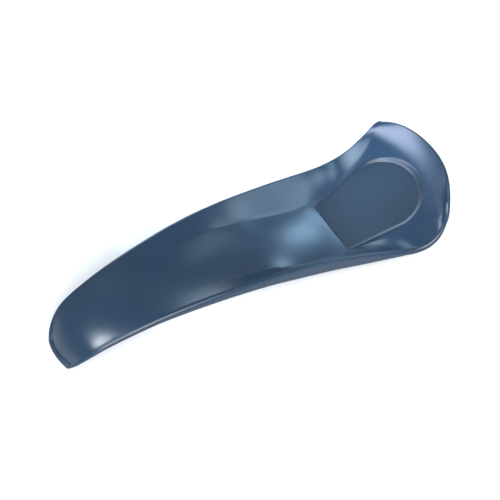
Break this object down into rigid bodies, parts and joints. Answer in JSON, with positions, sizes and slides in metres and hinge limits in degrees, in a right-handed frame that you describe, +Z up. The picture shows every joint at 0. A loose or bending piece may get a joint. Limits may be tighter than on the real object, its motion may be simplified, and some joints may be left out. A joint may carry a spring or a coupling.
{
  "type": "telephone handset shoulder rest",
  "caption": "Long arched shoulder rest for a telephone handset, with a dished cradle at one end, a raised end lip and non-slip grips underneath.",
  "frame": {"origin": "on the table under the middle of the length", "axes": "+Z up, +X toward the dished cradle, -X toward the toe, symmetric about the XZ plane"},
  "size_m": [0.1906, 0.0686, 0.0319],
  "materials": {
    "upper_gloss": "polished dark blue-grey",
    "lower_satin": "fine satin",
    "pad": "smooth semi-gloss",
    "adhesive": "double-sided film",
    "grip": "matte non-slip",
    "screw": "plain"
  },
  "bodies": {
    "root": {"upper_shell": "upper_gloss", "lower_shell": "lower_satin", "cradle_pad": "pad", "cradle_pad_adhesive": "adhesive", "heel_grip": "grip", "heel_grip_adhesive": "adhesive", "toe_grip": "grip", "toe_grip_adhesive": "adhesive", "screw_heel_left": "screw", "screw_heel_right": "screw", "screw_toe": "screw"}
  },
  "joints": []
}
